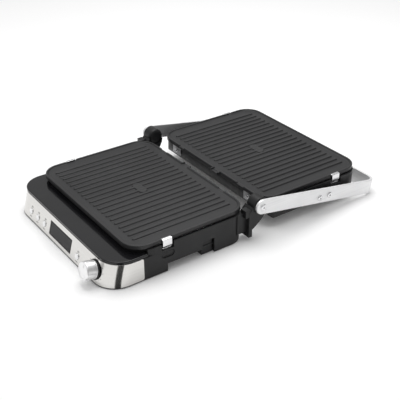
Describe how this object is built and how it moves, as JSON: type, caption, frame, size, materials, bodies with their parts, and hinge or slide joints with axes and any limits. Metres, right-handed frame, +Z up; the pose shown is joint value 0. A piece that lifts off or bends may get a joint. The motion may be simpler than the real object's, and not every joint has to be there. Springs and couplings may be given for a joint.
{
  "type": "panini press",
  "caption": "Contact grill opened flat: two ribbed non-stick plates, a low base with a slanted steel control band, and a floating lid carried on a U-shaped aluminium handle.",
  "frame": {"origin": "on the table under the middle of the whole opened press's bounding box", "axes": "+X to the right as the user faces the controls, -Y towards the controls, +Y towards the hinge and the opened lid's handle, +Z up"},
  "size_m": [0.3384, 0.5504, 0.0725],
  "materials": {
    "cast_plate": "non-stick coated cast aluminium, satin",
    "matt_black_plastic": "fine-grained matt black",
    "gloss_black_plastic": "glossy black",
    "brushed_steel": "brushed stainless steel",
    "brushed_aluminium": "brushed and anodised",
    "chrome_plate": "bright chrome",
    "black_rubber": "dull",
    "display_lens": "smoked clear lens",
    "circuit_board": "green lacquer"
  },
  "bodies": {
    "base": {"base_housing": "matt_black_plastic", "front_cover_plate": "matt_black_plastic", "base_floor": "matt_black_plastic", "steel_band": "brushed_steel", "control_deck": "gloss_black_plastic", "front_foot_left": "black_rubber", "front_foot_right": "black_rubber", "rear_foot_left": "black_rubber", "rear_foot_right": "black_rubber", "display_lens": "display_lens", "control_board": "circuit_board", "power_board": "circuit_board", "cord_gland": "black_rubber", "knob_collar": "gloss_black_plastic", "encoder_body": "matt_black_plastic", "grill_plate_lower": "cast_plate", "heater_lower": "brushed_steel", "reflector_lower": "brushed_aluminium", "thermostat_lower": "brushed_steel", "clip_pin_lower_left": "brushed_steel", "clip_pin_lower_right": "brushed_steel", "hinge_tower_left": "matt_black_plastic", "hinge_tower_right": "matt_black_plastic", "hinge_drum_left": "matt_black_plastic", "hinge_drum_right": "matt_black_plastic"},
    "handle": {"lid_handle": "brushed_aluminium", "hinge_screw_left": "brushed_steel", "hinge_screw_right": "brushed_steel", "lid_pivot_screw_left": "brushed_steel", "lid_pivot_screw_right": "brushed_steel", "lid_stop_pin_left": "brushed_steel", "lid_stop_pin_right": "brushed_steel", "pivot_bush_left": "matt_black_plastic", "pivot_bush_right": "matt_black_plastic"},
    "lid": {"lid_housing": "matt_black_plastic", "lid_top_panel": "brushed_steel", "grill_plate_upper": "cast_plate", "heater_upper": "brushed_steel", "reflector_upper": "brushed_aluminium", "thermostat_upper": "brushed_steel", "clip_pin_upper_left": "brushed_steel", "clip_pin_upper_right": "brushed_steel", "lid_bracket_left": "brushed_steel", "lid_bracket_right": "brushed_steel", "bracket_screw_left": "chrome_plate", "bracket_screw_right": "chrome_plate"},
    "knob": {"knob": "brushed_aluminium", "knob_shaft": "brushed_steel"},
    "mode_button": {"mode_button": "brushed_aluminium"},
    "heat_button": {"heat_button": "brushed_aluminium"},
    "timer_button": {"timer_button": "brushed_aluminium"},
    "start_button": {"start_button": "brushed_aluminium"},
    "plate_clip_lower_left": {"plate_clip_lower_left": "chrome_plate"},
    "release_button_lower_left": {"release_button_lower_left": "matt_black_plastic"},
    "plate_clip_lower_right": {"plate_clip_lower_right": "chrome_plate"},
    "release_button_lower_right": {"release_button_lower_right": "matt_black_plastic"},
    "plate_clip_upper_left": {"plate_clip_upper_left": "chrome_plate"},
    "release_button_upper_left": {"release_button_upper_left": "matt_black_plastic"},
    "plate_clip_upper_right": {"plate_clip_upper_right": "chrome_plate"},
    "release_button_upper_right": {"release_button_upper_right": "matt_black_plastic"}
  },
  "joints": [
    {"name": "handle_hinge", "type": "hinge", "parent": "base", "child": "handle", "pos_m": [0, 0.01716, 0.0585], "axis": [1, 0, 0], "range_deg": [0, 176]},
    {"name": "lid_float", "type": "hinge", "parent": "handle", "child": "lid", "pos_m": [0, 0.13863, 0.03375], "axis": [1, 0, 0], "range_deg": [0, 9]},
    {"name": "knob_turn", "type": "hinge", "parent": "base", "child": "knob", "pos_m": [0.112, -0.25246, 0.0208], "axis": [0, -0.9645, 0.2643], "continuous": true},
    {"name": "mode_press", "type": "slide", "parent": "base", "child": "mode_button", "axis": [0, 0.9645, -0.2643], "range_m": [0, 0.0012], "stiffness_N_per_m": 400, "springref_m": -0.0006},
    {"name": "heat_press", "type": "slide", "parent": "base", "child": "heat_button", "axis": [0, 0.9645, -0.2643], "range_m": [0, 0.0012], "stiffness_N_per_m": 400, "springref_m": -0.0006},
    {"name": "timer_press", "type": "slide", "parent": "base", "child": "timer_button", "axis": [0, 0.9645, -0.2643], "range_m": [0, 0.0012], "stiffness_N_per_m": 400, "springref_m": -0.0006},
    {"name": "start_press", "type": "slide", "parent": "base", "child": "start_button", "axis": [0, 0.9645, -0.2643], "range_m": [0, 0.0012], "stiffness_N_per_m": 400, "springref_m": -0.0006},
    {"name": "clip_lower_left", "type": "hinge", "parent": "base", "child": "plate_clip_lower_left", "pos_m": [-0.1485, -0.15184, 0.0405], "axis": [0, -1, 0], "range_deg": [0, 14], "stiffness_Nm_per_rad": 0.08, "springref_deg": -5.73},
    {"name": "release_lower_left", "type": "slide", "parent": "base", "child": "release_button_lower_left", "axis": [1, 0, 0], "range_m": [0, 0.0022]},
    {"name": "clip_lower_right", "type": "hinge", "parent": "base", "child": "plate_clip_lower_right", "pos_m": [0.1485, -0.15184, 0.0405], "axis": [0, 1, 0], "range_deg": [0, 14], "stiffness_Nm_per_rad": 0.08, "springref_deg": -5.73},
    {"name": "release_lower_right", "type": "slide", "parent": "base", "child": "release_button_lower_right", "axis": [-1, 0, 0], "range_m": [0, 0.0022]},
    {"name": "clip_upper_left", "type": "hinge", "parent": "lid", "child": "plate_clip_upper_left", "pos_m": [-0.1485, 0.18616, 0.0405], "axis": [0, -1, 0], "range_deg": [0, 14], "stiffness_Nm_per_rad": 0.08, "springref_deg": -5.73},
    {"name": "release_upper_left", "type": "slide", "parent": "lid", "child": "release_button_upper_left", "axis": [1, 0, 0], "range_m": [0, 0.0022]},
    {"name": "clip_upper_right", "type": "hinge", "parent": "lid", "child": "plate_clip_upper_right", "pos_m": [0.1485, 0.18616, 0.0405], "axis": [0, 1, 0], "range_deg": [0, 14], "stiffness_Nm_per_rad": 0.08, "springref_deg": -5.73},
    {"name": "release_upper_right", "type": "slide", "parent": "lid", "child": "release_button_upper_right", "axis": [-1, 0, 0], "range_m": [0, 0.0022]}
  ],
  "couplings": [
    {"joint": "release_lower_left", "follows": "clip_lower_left", "m_per_rad": 0.0090027},
    {"joint": "release_lower_right", "follows": "clip_lower_right", "m_per_rad": 0.0090027},
    {"joint": "release_upper_left", "follows": "clip_upper_left", "m_per_rad": 0.0090027},
    {"joint": "release_upper_right", "follows": "clip_upper_right", "m_per_rad": 0.0090027}
  ]
}
